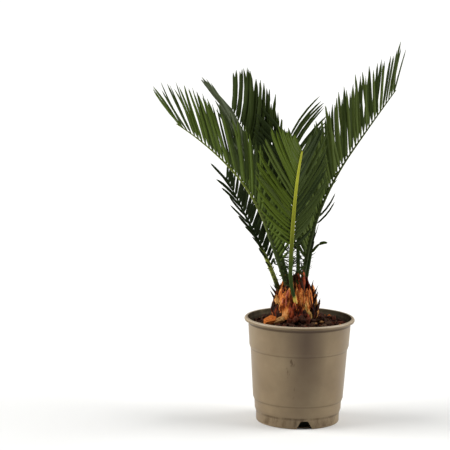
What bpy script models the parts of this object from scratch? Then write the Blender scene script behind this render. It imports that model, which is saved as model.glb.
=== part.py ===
"""A young sago palm in a round plastic nursery pot, modelled at its real size.

The pot is a turned shell with a rolled lip, three stepped bands and three drain notches at its
foot. It is filled with soil to just under the lip. A short, bulging trunk stands on the soil, and
seven arching fronds grow from its top. Each frond is a tapering rib with a thin blade on both
sides, folded up into a shallow V: the outline that its rows of leaflets fill.

Units are metres. The origin is the centre of the pot's flat underside, +Z is up, and the
front of the plant faces -Y.
"""

import math
from collections import namedtuple

import bmesh
import bpy
from mathutils import Vector

# Pot: radii at the lip, just under it, and above and below each step in the wall
LIP_RADIUS = 0.0750
LIP_HEIGHT = 0.0060
LIP_INNER_RADIUS = 0.0694
LIP_ROUNDING = 0.0020
POT_HEIGHT = 0.1429
BAND_TOP_RADIUS = 0.0697
BAND_BOTTOM_RADIUS = 0.0677
WALL_TOP_RADIUS = 0.0658
WALL_BOTTOM_RADIUS = 0.0615
FOOT_TOP_RADIUS = 0.0593
FOOT_BOTTOM_RADIUS = 0.0589
HEEL_RADIUS = 0.0568
HEEL_ROUNDING = 0.0015
UPPER_STEP = (0.1050, 0.0995)
LOWER_STEP = (0.0335, 0.0278)
HEEL_STEP = (0.0184, 0.0120)
WALL_THICKNESS = 0.0015
POT_SIDES = 56

# Drain notches: a sloping-sided gap in the foot of the wall, cut on into floor and soil
NOTCH_COUNT = 3
NOTCH_AZIMUTH = -82.0
NOTCH_HEIGHT = 0.0097
NOTCH_WIDTH_BELOW = 0.0185
NOTCH_WIDTH_ABOVE = 0.0080
NOTCH_DEPTH = 0.0080
NOTCH_OVERRUN_OUT = 0.0100
NOTCH_OVERRUN_DOWN = 0.0020

# Soil: a flat crown round the trunk that falls away to the pot wall
SOIL_CROWN = 0.1407
SOIL_CROWN_RADIUS = 0.0410
SOIL_SHOULDER = 0.1372
SOIL_SHOULDER_RADIUS = 0.0560
SOIL_EDGE = 0.1322
CLEARANCE = 0.0003

# Trunk: radius at each height, from its pointed tip down to the flat cut on the soil
TRUNK_CENTRE = Vector((-0.0065, 0.0, 0.0))
TRUNK_GROUND = SOIL_CROWN + CLEARANCE
TRUNK_PROFILE = (
    (0.2010, 0.0020),
    (0.1945, 0.0052),
    (0.1885, 0.0105),
    (0.1845, 0.0190),
    (0.1800, 0.0258),
    (0.1720, 0.0305),
    (0.1600, 0.0330),
    (0.1490, 0.0322),
    (TRUNK_GROUND, 0.0290),
)
TRUNK_SIDES = 32
TRUNK_CUT_CLEARANCE = 0.00045

# Fronds: azimuth is measured from +X towards +Y and drifts along the rib. The leans are angles
# from the vertical at the foot, one third, two thirds and the tip, and so are the spreads, each
# between leaflet and rib, and the folds, each of the leaflets up out of the flat. The sideways
# shift moves only the foot. A frond's blade keeps between the two azimuths of its sector, seen
# from the trunk's axis. Lengths are in metres and angles in degrees.
Frond = namedtuple(
    "Frond",
    "name sector azimuth drift leans length foot shift leaflet tip_share bare spreads folds",
)
FRONDS = (
    Frond(
        "frond_right", sector=(-45, 28), azimuth=4, drift=9, leans=(-2, 17, 34, 36),
        length=0.306, foot=(0.0085, -0.0020, 0.178), shift=0.0, leaflet=0.104, tip_share=0.58,
        bare=0.15, spreads=(55, 46, 46, 33), folds=(36, 42, 48, 58),
    ),
    Frond(
        "frond_back_right", sector=(28, 72), azimuth=66, drift=0, leans=(8, 14, 24, 38),
        length=0.190, foot=(0.0105, 0.0110, 0.178), shift=0.0, leaflet=0.055, tip_share=0.75,
        bare=0.25, spreads=(42, 34, 28, 20), folds=(30, 36, 36, 45),
    ),
    Frond(
        "frond_back", sector=(72, 106), azimuth=98, drift=9, leans=(6, 14, 23, 36),
        length=0.217, foot=(-0.0030, 0.0150, 0.180), shift=0.0, leaflet=0.094, tip_share=0.75,
        bare=0.24, spreads=(50, 46, 48, 48), folds=(26, 26, 26, 26),
    ),
    Frond(
        "frond_back_left", sector=(106, 146), azimuth=130, drift=2, leans=(25, 22, 32, 44),
        length=0.275, foot=(-0.0142, 0.0115, 0.178), shift=0.0, leaflet=0.108, tip_share=0.50,
        bare=0.20, spreads=(42, 34, 32, 16), folds=(22, 20, 20, 30),
    ),
    Frond(
        "frond_left_low", sector=(146, 181), azimuth=160, drift=-8, leans=(20, 29, 35, 42),
        length=0.160, foot=(-0.0290, 0.0040, 0.178), shift=0.0, leaflet=0.058, tip_share=0.75,
        bare=0.18, spreads=(50, 42, 36, 22), folds=(6, 8, 10, 20),
    ),
    Frond(
        "frond_left", sector=(181, 236), azimuth=196, drift=1, leans=(20, 21, 44, 58),
        length=0.287, foot=(-0.0153, -0.0090, 0.178), shift=0.0, leaflet=0.104, tip_share=0.63,
        bare=0.15, spreads=(55, 46, 46, 30), folds=(36, 42, 50, 54),
    ),
    Frond(
        "frond_front", sector=(236, 315), azimuth=274, drift=0, leans=(4, 22, 46, 61),
        length=0.275, foot=(-0.0124, -0.0285, 0.168), shift=0.005, leaflet=0.098, tip_share=0.48,
        bare=0.18, spreads=(50, 42, 42, 34), folds=(34, 40, 40, 44),
    ),
)
SHIFT_GONE_AT = 0.12
RIB_FOOT_RADIUS = 0.0031
RIB_TIP_RADIUS = 0.0009
RIB_POINTS = 16
ROOTED_DEPTH = 0.006
BLADE_THICKNESS = 0.0014
BLADE_STATIONS = 16
LINE_STEPS = 200
FIRST_LEAFLET_SHARE = 0.22
FULL_LENGTH_AT = 0.46
SECTOR_MARGIN = 0.0016


def clear_scene():
    """Remove every object of the opened file."""
    for old in list(bpy.data.objects):
        bpy.data.objects.remove(old, do_unlink=True)


def collection_named(name):
    """A new collection, linked to the scene."""
    made = bpy.data.collections.new(name)
    bpy.context.scene.collection.children.link(made)
    return made


def material_named(name, colour, roughness):
    """A Principled material with one colour."""
    made = bpy.data.materials.new(name)
    made.use_nodes = True
    shader = made.node_tree.nodes["Principled BSDF"]
    shader.inputs["Base Color"].default_value = (*colour, 1.0)
    shader.inputs["Roughness"].default_value = roughness
    shader.inputs["Metallic"].default_value = 0.0
    return made


def object_from(name, mesh, collection, material=None):
    """An object for the mesh, with its material."""
    made = bpy.data.objects.new(name, mesh)
    if material:
        mesh.materials.append(material)
    collection.objects.link(made)
    return made


def turned(name, profile, sides, collection, material=None):
    """A body turned round Z from (radius, height) points that run down its outer side."""
    mesh = bpy.data.meshes.new(name)
    points = [(radius, 0.0, height) for radius, height in profile]
    edges = [(i, i + 1) for i in range(len(points) - 1)]
    mesh.from_pydata(points, edges, [])
    made = object_from(name, mesh, collection, material)
    screw = made.modifiers.new("turn", "SCREW")
    screw.steps = sides
    screw.render_steps = sides
    screw.use_merge_vertices = True
    screw.merge_threshold = 0.00001
    screw.use_smooth_shade = True
    return made


def cut_with(target, cutter):
    """Take the cutter's shape out of the target."""
    boolean = target.modifiers.new("cut", "BOOLEAN")
    boolean.operation = "DIFFERENCE"
    boolean.solver = "EXACT"
    boolean.object = cutter
    cutter.hide_render = True
    cutter.display_type = "WIRE"


def corner(centre, radius, start, end, steps):
    """Points of an arc in the profile plane, between two angles in degrees."""
    angles = [math.radians(start + (end - start) * i / steps) for i in range(steps + 1)]
    return [(centre[0] + radius * math.cos(a), centre[1] + radius * math.sin(a)) for a in angles]


def wall_outline(inset):
    """The stepped wall from top to bottom, moved in by a wall thickness or none."""
    outline = (
        (BAND_TOP_RADIUS, POT_HEIGHT - LIP_HEIGHT),
        (BAND_BOTTOM_RADIUS, UPPER_STEP[0]),
        (WALL_TOP_RADIUS, UPPER_STEP[1]),
        (WALL_BOTTOM_RADIUS, LOWER_STEP[0]),
        (FOOT_TOP_RADIUS, LOWER_STEP[1]),
        (FOOT_BOTTOM_RADIUS, HEEL_STEP[0]),
        (HEEL_RADIUS, HEEL_STEP[1]),
    )
    return [(radius - inset, height) for radius, height in outline]


def wall_radius(height, inset):
    """Radius of the stepped wall at a height."""
    outline = wall_outline(inset)
    for (upper_radius, upper), (lower_radius, lower) in zip(outline, outline[1:]):
        if lower <= height <= upper:
            share = (height - lower) / (upper - lower)
            return lower_radius + share * (upper_radius - lower_radius)
    return outline[0][0] if height > outline[0][1] else outline[-1][0]


def notch_cutters(collection):
    """Tapered blocks that cut the drain notches, one for each place round the foot."""
    cutters = []
    inner = HEEL_RADIUS - NOTCH_DEPTH
    outer = HEEL_RADIUS + NOTCH_OVERRUN_OUT
    slope = (NOTCH_WIDTH_BELOW - NOTCH_WIDTH_ABOVE) / NOTCH_HEIGHT
    for i in range(NOTCH_COUNT):
        mesh = bpy.data.meshes.new(f"notch_{i}")
        bm = bmesh.new()
        bmesh.ops.create_cube(bm, size=1.0)
        for vert in bm.verts:
            top = vert.co.z > 0
            width = NOTCH_WIDTH_ABOVE if top else NOTCH_WIDTH_BELOW + slope * NOTCH_OVERRUN_DOWN
            vert.co.x = outer if vert.co.x > 0 else inner
            vert.co.y = math.copysign(width / 2, vert.co.y)
            vert.co.z = NOTCH_HEIGHT if top else -NOTCH_OVERRUN_DOWN
        bm.to_mesh(mesh)
        bm.free()
        cutter = object_from(f"notch_{i}", mesh, collection)
        cutter.rotation_euler.z = math.radians(NOTCH_AZIMUTH + i * 360 / NOTCH_COUNT)
        cutters.append(cutter)
    return cutters


def make_pot(collection, cutters):
    """The turned plastic shell: floor, stepped wall and rolled lip, with its drain notches."""
    inner_wall = wall_outline(WALL_THICKNESS)[::-1]
    inner_wall[0] = (HEEL_RADIUS - WALL_THICKNESS, WALL_THICKNESS)
    inner_wall[-1] = (BAND_TOP_RADIUS - WALL_THICKNESS, POT_HEIGHT - 2 * LIP_HEIGHT)
    lip_in = (LIP_INNER_RADIUS + LIP_ROUNDING, POT_HEIGHT - LIP_ROUNDING)
    lip_out = (LIP_RADIUS - LIP_ROUNDING, POT_HEIGHT - LIP_ROUNDING)
    lip_low = (LIP_RADIUS - LIP_ROUNDING / 2, POT_HEIGHT - LIP_HEIGHT + LIP_ROUNDING / 2)
    heel = (HEEL_RADIUS - HEEL_ROUNDING, HEEL_ROUNDING)
    profile = [(0.0, WALL_THICKNESS)]
    profile += inner_wall
    profile += corner(lip_in, LIP_ROUNDING, 180, 90, 3)
    profile += corner(lip_out, LIP_ROUNDING, 90, 0, 3)
    profile += corner(lip_low, LIP_ROUNDING / 2, 0, -90, 2)
    profile += wall_outline(0.0)
    profile += corner(heel, HEEL_ROUNDING, 0, -90, 3)
    profile += [(0.0, 0.0)]
    plastic = material_named("taupe_plastic", (0.175, 0.135, 0.095), 0.45)
    pot = turned("pot", profile, POT_SIDES, collection, plastic)
    for cutter in cutters:
        cut_with(pot, cutter)
    return pot


def make_soil(collection, cutters):
    """The potting soil: crowned above, following the stepped wall below."""
    inset = WALL_THICKNESS + CLEARANCE
    steps = [point for point in wall_outline(inset) if point[1] < SOIL_EDGE]
    profile = [
        (0.0, SOIL_CROWN),
        (SOIL_CROWN_RADIUS, SOIL_CROWN),
        (SOIL_SHOULDER_RADIUS, SOIL_SHOULDER),
        (wall_radius(SOIL_EDGE, inset) - CLEARANCE, SOIL_EDGE),
    ]
    profile += steps[:-1]
    profile += [
        (HEEL_RADIUS - inset, WALL_THICKNESS + CLEARANCE),
        (0.0, WALL_THICKNESS + CLEARANCE),
    ]
    earth = material_named("potting_soil", (0.035, 0.022, 0.015), 0.95)
    soil = turned("soil", profile, POT_SIDES, collection, earth)
    for cutter in cutters:
        cut_with(soil, cutter)
    return soil


def trunk_profile(offset):
    """The trunk's profile, moved out by an offset and closed on the axis."""
    points = [(radius + offset, height + (offset if i == 0 else 0.0))
              for i, (height, radius) in enumerate(TRUNK_PROFILE)]
    top = points[0][1]
    ground = points[-1][1]
    return [(0.0, top)] + points + [(0.0, ground)]


def make_trunk(collection):
    """The short bulging trunk, cut flat where it meets the soil."""
    bark = material_named("trunk_scales", (0.36, 0.14, 0.045), 0.7)
    trunk = turned("trunk", trunk_profile(0.0), TRUNK_SIDES, collection, bark)
    trunk.location = TRUNK_CENTRE
    return trunk


def make_trunk_cutter(collection):
    """The trunk's shape with a small clearance, which ends each frond at the bark."""
    cutter = turned("trunk_clearance", trunk_profile(TRUNK_CUT_CLEARANCE), TRUNK_SIDES, collection)
    cutter.location = TRUNK_CENTRE
    return cutter


def between(values, share):
    """Straight-line reading of evenly spaced values at a share from 0 to 1."""
    place = min(max(share, 0.0), 1.0) * (len(values) - 1)
    low = min(int(place), len(values) - 2)
    return values[low] + (values[low + 1] - values[low]) * (place - low)


def tangent(frond, u):
    """Direction of the rib at a share of its length."""
    lean = math.radians(between(frond.leans, u))
    turn = math.radians(frond.azimuth + frond.drift * u)
    return Vector((math.sin(lean) * math.cos(turn), math.sin(lean) * math.sin(turn), math.cos(lean)))


def upper_side(frond, u):
    """Direction that the frond's upper face looks, square to the rib."""
    lean = math.radians(between(frond.leans, u))
    turn = math.radians(frond.azimuth + frond.drift * u)
    return Vector((-math.cos(lean) * math.cos(turn), -math.cos(lean) * math.sin(turn), math.sin(lean)))


def rib_line(frond):
    """Evenly spaced points along the rib, from foot to tip."""
    step = frond.length / LINE_STEPS
    points = [Vector(frond.foot)]
    for i in range(LINE_STEPS):
        points.append(points[-1] + tangent(frond, (i + 0.5) / LINE_STEPS) * step)
    for i, point in enumerate(points):
        left = max(0.0, 1.0 - i / LINE_STEPS / SHIFT_GONE_AT)
        point.x += frond.shift * left * left
    return points


def point_on(line, u):
    """Place on a line of evenly spaced points."""
    place = min(max(u, 0.0), 1.0) * (len(line) - 1)
    low = min(int(place), len(line) - 2)
    return line[low].lerp(line[low + 1], place - low)


def leaflet_length(frond, u):
    """Length of the leaflets at a share of the rib: short at the foot, full in the middle."""
    if u < FULL_LENGTH_AT:
        share = (u - frond.bare) / (FULL_LENGTH_AT - frond.bare)
        rise = math.sin(share * math.pi / 2)
        return frond.leaflet * (FIRST_LEAFLET_SHARE + (1 - FIRST_LEAFLET_SHARE) * rise)
    share = (u - FULL_LENGTH_AT) / (1 - FULL_LENGTH_AT)
    return frond.leaflet * (1 - (1 - frond.tip_share) * share)


def leaflet_direction(frond, u, side):
    """Direction of a leaflet: forward along the rib, out to one side and folded upward."""
    spread = math.radians(between(frond.spreads, u))
    fold = math.radians(between(frond.folds, u))
    along = tangent(frond, u)
    up = upper_side(frond, u)
    across = along.cross(up) * side
    outward = across * math.cos(fold) + up * math.sin(fold)
    return along * math.cos(spread) + outward * math.sin(spread)


def sector_planes(frond):
    """Upright planes through the trunk's axis that bound the frond's sector, facing into it."""
    start, end = [math.radians(azimuth) for azimuth in frond.sector]
    return (
        Vector((-math.sin(start), math.cos(start), 0.0)),
        Vector((math.sin(end), -math.cos(end), 0.0)),
    )


def reach(point, direction, planes):
    """How far a line runs from a point before it meets one of the planes, less the margin."""
    furthest = math.inf
    for normal in planes:
        room = normal.dot(point - TRUNK_CENTRE) - SECTOR_MARGIN
        closing = -normal.dot(direction)
        if room <= 0:
            return 0.0
        if closing > 0:
            furthest = min(furthest, room / closing)
    return furthest


def make_rib(frond, line, name):
    """The rib as one closed tube that tapers from its foot in the trunk to its tip."""
    curve = bpy.data.curves.new(name, "CURVE")
    curve.dimensions = "3D"
    curve.bevel_depth = 1.0
    curve.bevel_resolution = 1
    curve.use_fill_caps = True
    spline = curve.splines.new("POLY")
    spline.points.add(RIB_POINTS)
    for i, point in enumerate(spline.points):
        u = max(0.0, (i - 1) / (RIB_POINTS - 1))
        place = point_on(line, u)
        if i == 0:
            place = place - (line[1] - line[0]).normalized() * ROOTED_DEPTH
        point.co = (*place, 1.0)
        point.radius = RIB_FOOT_RADIUS + (RIB_TIP_RADIUS - RIB_FOOT_RADIUS) * u
    tube = bpy.data.objects.new(name, curve)
    bpy.context.scene.collection.objects.link(tube)
    depsgraph = bpy.context.evaluated_depsgraph_get()
    mesh = bpy.data.meshes.new_from_object(tube.evaluated_get(depsgraph))
    bpy.data.objects.remove(tube, do_unlink=True)
    bm = bmesh.new()
    bm.from_mesh(mesh)
    bmesh.ops.remove_doubles(bm, verts=bm.verts, dist=0.00001)
    bmesh.ops.recalc_face_normals(bm, faces=bm.faces)
    bm.to_mesh(mesh)
    bm.free()
    return mesh


def make_blade(frond, line, name):
    """The leaflets' outline as an open sheet: a grid laid along the rib and out to both sides."""
    planes = sector_planes(frond)
    mesh = bpy.data.meshes.new(name)
    bm = bmesh.new()
    bmesh.ops.create_grid(bm, x_segments=BLADE_STATIONS, y_segments=2, size=1.0)
    for vert in bm.verts:
        u = frond.bare + (1 - frond.bare) * (vert.co.x + 1) / 2
        side = round(vert.co.y)
        place = point_on(line, u)
        if side:
            direction = leaflet_direction(frond, u, side)
            length = min(leaflet_length(frond, u), reach(place, direction, planes))
            place = place + direction * max(length, RIB_FOOT_RADIUS)
        vert.co = place
    bm.to_mesh(mesh)
    bm.free()
    return mesh


def make_frond(frond, collection, helpers, trunk_cutter, leaf):
    """One frond: rib and blade joined into one body, and ended at the trunk."""
    line = rib_line(frond)
    rib = object_from(frond.name, make_rib(frond, line, frond.name), collection, leaf)
    blade = object_from(f"{frond.name}_blade", make_blade(frond, line, "blade"), helpers)
    sheet = blade.modifiers.new("thickness", "SOLIDIFY")
    sheet.thickness = BLADE_THICKNESS
    sheet.offset = 0.0
    blade.hide_render = True
    blade.display_type = "WIRE"
    joined = rib.modifiers.new("blade", "BOOLEAN")
    joined.operation = "UNION"
    joined.solver = "EXACT"
    joined.object = blade
    cut_with(rib, trunk_cutter)
    return rib


def main():
    """Build the potted palm."""
    clear_scene()
    palm = collection_named("potted_sago_palm")
    cutters = collection_named("cutters")
    notches = notch_cutters(cutters)
    make_pot(palm, notches)
    make_soil(palm, notches)
    make_trunk(palm)
    trunk_cutter = make_trunk_cutter(cutters)
    leaf = material_named("frond_leaf", (0.055, 0.115, 0.02), 0.5)
    for frond in FRONDS:
        make_frond(frond, palm, cutters, trunk_cutter, leaf)


main()
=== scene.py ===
import math
import random
from collections import namedtuple

import bmesh
import bpy
from mathutils import Euler, Matrix, Vector, noise
from mathutils.bvhtree import BVHTree


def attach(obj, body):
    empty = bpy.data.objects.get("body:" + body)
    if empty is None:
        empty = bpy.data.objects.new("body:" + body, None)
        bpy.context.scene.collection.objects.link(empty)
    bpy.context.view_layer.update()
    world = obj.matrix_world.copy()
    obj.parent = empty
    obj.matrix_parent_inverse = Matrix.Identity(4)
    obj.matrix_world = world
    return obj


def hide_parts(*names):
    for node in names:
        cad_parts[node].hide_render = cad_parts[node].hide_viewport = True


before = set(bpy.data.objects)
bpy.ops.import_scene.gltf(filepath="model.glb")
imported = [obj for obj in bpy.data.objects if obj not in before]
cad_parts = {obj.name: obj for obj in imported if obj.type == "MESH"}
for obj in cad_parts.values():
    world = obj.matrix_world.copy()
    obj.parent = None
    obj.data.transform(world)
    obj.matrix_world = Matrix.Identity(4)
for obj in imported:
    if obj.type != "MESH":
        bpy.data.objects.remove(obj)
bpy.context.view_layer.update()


# Nursery pot: one injection-moulded shell of taupe polypropylene, with a rolled lip, three bands
# that step in towards the foot so that pots nest, and three drain notches cut through the heel.
POT_SIDES = 160
# Corners of the turned profile, inside first: radius, height and rounding in millimetres.
POT_PROFILE = (
    (0, 1.5, 0), (54.6, 1.5, 1.5), (55, 12.5, 0.5), (57.4, 18.5, 0.5), (57.8, 28.3, 0.5),
    (60, 34, 0.5), (64.3, 100, 0.5), (66.2, 105.5, 0.5), (68.1, 136.5, 0.8), (69.4, 138.5, 0.8),
    (69.6, 142.9, 1.6), (75, 142.9, 2.4), (74.9, 138.1, 1.8), (69.9, 138.1, 0.8),
    (67.7, 105, 1), (65.8, 99.5, 1), (61.5, 33.5, 1), (59.3, 27.8, 1), (58.9, 18.4, 0.8),
    (56.8, 12, 0.8), (56.6, 0, 1.6), (0, 0, 0),
)
NOTCH_AZIMUTHS = (-80.0, 40.0, 160.0)
NOTCH_HEIGHT = 0.0110
NOTCH_WIDTHS = (0.0230, 0.0095)
NOTCH_REACH = (0.0488, 0.0620)
NOTCH_ROUNDING = 0.0012
CUT_PAST = 0.0002
INWARD = -0.03
DARKER_INSIDE_ABOVE = 0.12
# Marks on the plastic, real dirt with painted shade and a painted highlight. A band is the middle
# of its height and its reach up and down, in metres.
LEDGE_BAND = (0.0138, 0.0015)
HEEL_BAND = (0.0085, 0.0060)
# Painted highlight: a pale band along the lip's rounded top edge.
LIP_HIGHLIGHT_BAND = (0.1428, 0.0013)
RUN_BOX = (("X", -0.0105, 0.0060), ("Y", -0.0650, 0.0150), ("Z", 0.0640, 0.0340))
# Painted shade: dark bands in the creases under the two steps and under the lip, each with a strength.
CREASE_SHADE_BANDS = (
    (0.1003, 0.0009, 0.40), (0.0308, 0.0009, 0.40), (0.1363, 0.0020, 0.90), (0.1388, 0.0010, 0.30),
)
# Painted shade: a brown patch down the front under the lip, given by its centre, reach and top height.
SHADE_PATCH_CENTRE = (0.0100, -0.0650, 0.1275)
SHADE_PATCH_REACH = (1 / 32, 1 / 32, 1 / 8)
SHADE_PATCH_BELOW = 0.1408


def rounded(corners, steps=4):
    """Points along a profile whose corners are rounded by their own radii."""
    points = []
    for i, (radius, height, rounding) in enumerate(corners):
        here = Vector((radius, height))
        if not rounding:
            points.append(here)
            continue
        back = (Vector(corners[i - 1][:2]) - here).normalized()
        on = (Vector(corners[i + 1][:2]) - here).normalized()
        half = back.angle(on) / 2
        run = rounding / math.tan(half)
        centre = here + (back + on).normalized() * rounding / math.sin(half)
        start = here + back * run - centre
        end = here + on * run - centre
        for k in range(steps + 1):
            points.append(centre + start.lerp(end, k / steps).normalized() * rounding)
    return points


def turned(points, sides):
    """A bmesh spun round Z from (radius, height) points, with its faces pointing out."""
    bm = bmesh.new()
    verts = [bm.verts.new((point[0], 0.0, point[1])) for point in points]
    edges = [bm.edges.new(pair) for pair in zip(verts, verts[1:])]
    bmesh.ops.spin(
        bm, geom=verts + edges, cent=(0, 0, 0), axis=(0, 0, 1), angle=math.tau,
        steps=sides, use_merge=True,
    )
    bmesh.ops.remove_doubles(bm, verts=bm.verts, dist=0.00002)
    bmesh.ops.recalc_face_normals(bm, faces=bm.faces)
    return bm


def linear(code, alpha=1.0):
    """Linear RGBA of an sRGB hex colour."""
    parts = [int(code[i:i + 2], 16) / 255 for i in (1, 3, 5)]
    return (*[c / 12.92 if c <= 0.04045 else ((c + 0.055) / 1.055) ** 2.4 for c in parts], alpha)


def node(tree, kind, links=(), into=(), **settings):
    """Add a node, with its inputs and settings by name; links lead into it, and into leads on."""
    made = tree.nodes.new("ShaderNode" + kind)
    inputs = settings.pop("inputs", {})
    for name, value in settings.items():
        setattr(made, name, value)
    for name, value in inputs.items():
        made.inputs[name].default_value = value
    for source, output, name in links:
        tree.links.new(source.outputs[output], made.inputs[name])
    for output, target, name in into:
        tree.links.new(made.outputs[output], target.inputs[name])
    return made


def ramp(tree, source, output, stops, into=()):
    """A colour ramp fed by a value, with (place, hex colour) stops."""
    made = node(tree, "ValToRGB", [(source, output, "Fac")], into)
    elements = made.color_ramp.elements
    while len(elements) < len(stops):
        elements.new(0.5)
    for element, (place, code) in zip(elements, stops):
        element.position = place
        element.color = linear(code)
    return made


def maths(tree, operation, *terms):
    """A sum on terms, each of them a number or a node with one of its outputs."""
    links = [(*term, i) for i, term in enumerate(terms) if isinstance(term, tuple)]
    inputs = {i: term for i, term in enumerate(terms) if not isinstance(term, tuple)}
    return node(tree, "Math", links, operation=operation, inputs=inputs)


def painted(tree, factor, under, output, code, into=()):
    """A hex colour laid over another colour, as thick as a factor from 0 to 1 has it."""
    return node(
        tree, "Mix", [(factor, 0, "Factor"), (under, output, 6)], into, data_type="RGBA",
        inputs={7: linear(code)},
    )


def rescaled(tree, source, output, old, new, into=()):
    """A value moved from an old range to a new one."""
    ends = dict(zip(("From Min", "From Max", "To Min", "To Max"), (*old, *new)))
    return node(tree, "MapRange", [(source, output, "Value")], into, inputs=ends)


def speckle(tree, source, output, marks, detail, roughness=0.5):
    """A noise pattern with marks of about so many millimetres."""
    return node(
        tree, "TexNoise", [(source, output, "Vector")],
        inputs={"Scale": 1000 / marks, "Detail": detail, "Roughness": roughness},
    )


def relief(tree, source, output, shader, strength, distance):
    """Fine relief on a shader's surface from a pattern, so many metres deep."""
    node(
        tree, "Bump", [(source, output, "Height")], [("Normal", shader, "Normal")],
        inputs={"Strength": strength, "Distance": distance},
    )


def new_material(name, **values):
    """A material with its shader's own constants set: returns it, tree, shader and coordinates."""
    made = bpy.data.materials.new(name)
    made.use_nodes = True
    shader = made.node_tree.nodes["Principled BSDF"]
    for socket, value in values.items():
        shader.inputs[socket.replace("_", " ")].default_value = value
    return made, made.node_tree, shader, node(made.node_tree, "TexCoord")


def add_piece(name, bm, materials, nodes, smooth_angle=None):
    """Make the bmesh an object of the plant: shaded, riding on the root, standing for CAD nodes."""
    mesh = bpy.data.meshes.new(name)
    bm.to_mesh(mesh)
    bm.free()
    for material in materials:
        mesh.materials.append(material)
    if smooth_angle:
        mesh.shade_smooth()
        mesh.set_sharp_from_angle(angle=math.radians(smooth_angle))
    made = bpy.data.objects.new(name, mesh)
    bpy.context.scene.collection.objects.link(made)
    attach(made, "root")
    if nodes:
        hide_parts(*nodes)
    return made


# Moulded polypropylene has a soft satin sheen. Handling and watering have left cloudy patches,
# thin brown runs down the front, dried soil on the ledge and splashes on the heel. Painted shade
# darkens the creases under the steps and the lip, and a brown patch down the front under the lip;
# a painted highlight lightens the lip's top edge.
plastic, tree, shader, place = new_material(
    "moulded_taupe_polypropylene", Roughness=0.42, IOR=1.49, Specular_IOR_Level=0.4,
)
cloud = speckle(tree, place, "Object", marks=45, detail=4.0, roughness=0.55)
tone = ramp(tree, cloud, "Fac", ((0.32, "#776449"), (0.52, "#806D51"), (0.72, "#89775A")))
split = node(tree, "SeparateXYZ", [(place, "Object", "Vector")])
stretch = node(tree, "Mapping", [(place, "Object", "Vector")], inputs={"Scale": (1.0, 1.0, 0.35)})
grime = speckle(tree, stretch, "Vector", marks=16, detail=6.0, roughness=0.75)
patchy = rescaled(tree, grime, "Fac", (0.38, 0.60), (0.0, 0.9))
splashed = rescaled(tree, grime, "Fac", (0.50, 0.64), (0.0, 0.8))
spots = speckle(tree, stretch, "Vector", marks=5.25, detail=3.0, roughness=0.6)
dirt_and_shade = rescaled(tree, spots, "Fac", (0.56, 0.66), (0.0, 0.75))
for axis, middle, reach in RUN_BOX:
    inside = maths(tree, "COMPARE", (split, axis), middle, reach)
    dirt_and_shade = maths(tree, "MULTIPLY", (dirt_and_shade, 0), (inside, 0))
for (middle, reach), marks in ((LEDGE_BAND, patchy), (HEEL_BAND, splashed)):
    band = maths(tree, "COMPARE", (split, "Z"), middle, reach)
    soiled = maths(tree, "MULTIPLY", (band, 0), (marks, 0))
    dirt_and_shade = maths(tree, "MAXIMUM", (dirt_and_shade, 0), (soiled, 0))
# Painted shade in the creases under the steps and the lip, laid in with the dirt.
for middle, reach, strength in CREASE_SHADE_BANDS:
    crease = maths(tree, "COMPARE", (split, "Z"), middle, reach)
    crease_shade = maths(tree, "MULTIPLY", (crease, 0), strength)
    dirt_and_shade = maths(tree, "MAXIMUM", (dirt_and_shade, 0), (crease_shade, 0))
# Dirt and painted shade darken the plastic's tone to one brown.
dirt_and_shade_laid = painted(tree, dirt_and_shade, tone, "Color", "#4C381C")
# Painted shade: a brown patch down the front, below the lip.
from_shade_patch = node(
    tree, "Mapping", [(place, "Object", "Vector")],
    inputs={
        "Location": [-middle / reach for middle, reach in zip(SHADE_PATCH_CENTRE, SHADE_PATCH_REACH)],
        "Scale": [1 / reach for reach in SHADE_PATCH_REACH],
    },
)
shade_patch = node(tree, "TexGradient", [(from_shade_patch, "Vector", "Vector")], gradient_type="SPHERICAL")
below_lip = maths(tree, "LESS_THAN", (split, "Z"), SHADE_PATCH_BELOW)
shade_patch_wall = maths(tree, "MULTIPLY", (shade_patch, "Fac"), (below_lip, 0))
part_shade_patch = maths(tree, "MULTIPLY", (shade_patch_wall, 0), 0.8)
shade_patched = painted(tree, part_shade_patch, dirt_and_shade_laid, 2, "#3C2410")
# Painted highlight: the lip's top edge is laid paler, where light from above catches it.
lip_highlight = maths(tree, "COMPARE", (split, "Z"), *LIP_HIGHLIGHT_BAND)
part_highlight = maths(tree, "MULTIPLY", (lip_highlight, 0), 0.75)
painted(tree, part_highlight, shade_patched, 2, "#BCAC94", [(2, shader, "Base Color")])
rescaled(tree, cloud, "Fac", (0.3, 0.7), (0.36, 0.5), [(0, shader, "Roughness")])
fine = speckle(tree, place, "Object", marks=1.1, detail=2.0)
relief(tree, fine, "Fac", shader, strength=0.06, distance=0.0004)

# Inside, above the soil, the same plastic is darker and duller.
darker_inner_plastic, tree, shader, place = new_material(
    "dark_inner_polypropylene", Roughness=0.85, IOR=1.49, Specular_IOR_Level=0.2,
)
inner_mottle = speckle(tree, place, "Object", marks=16.5, detail=5.0, roughness=0.6)
ramp(
    tree, inner_mottle, "Fac", ((0.32, "#2C2416"), (0.55, "#443A28"), (0.75, "#61543C")),
    [("Color", shader, "Base Color")],
)
relief(tree, inner_mottle, "Fac", shader, strength=0.3, distance=0.0006)

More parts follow.
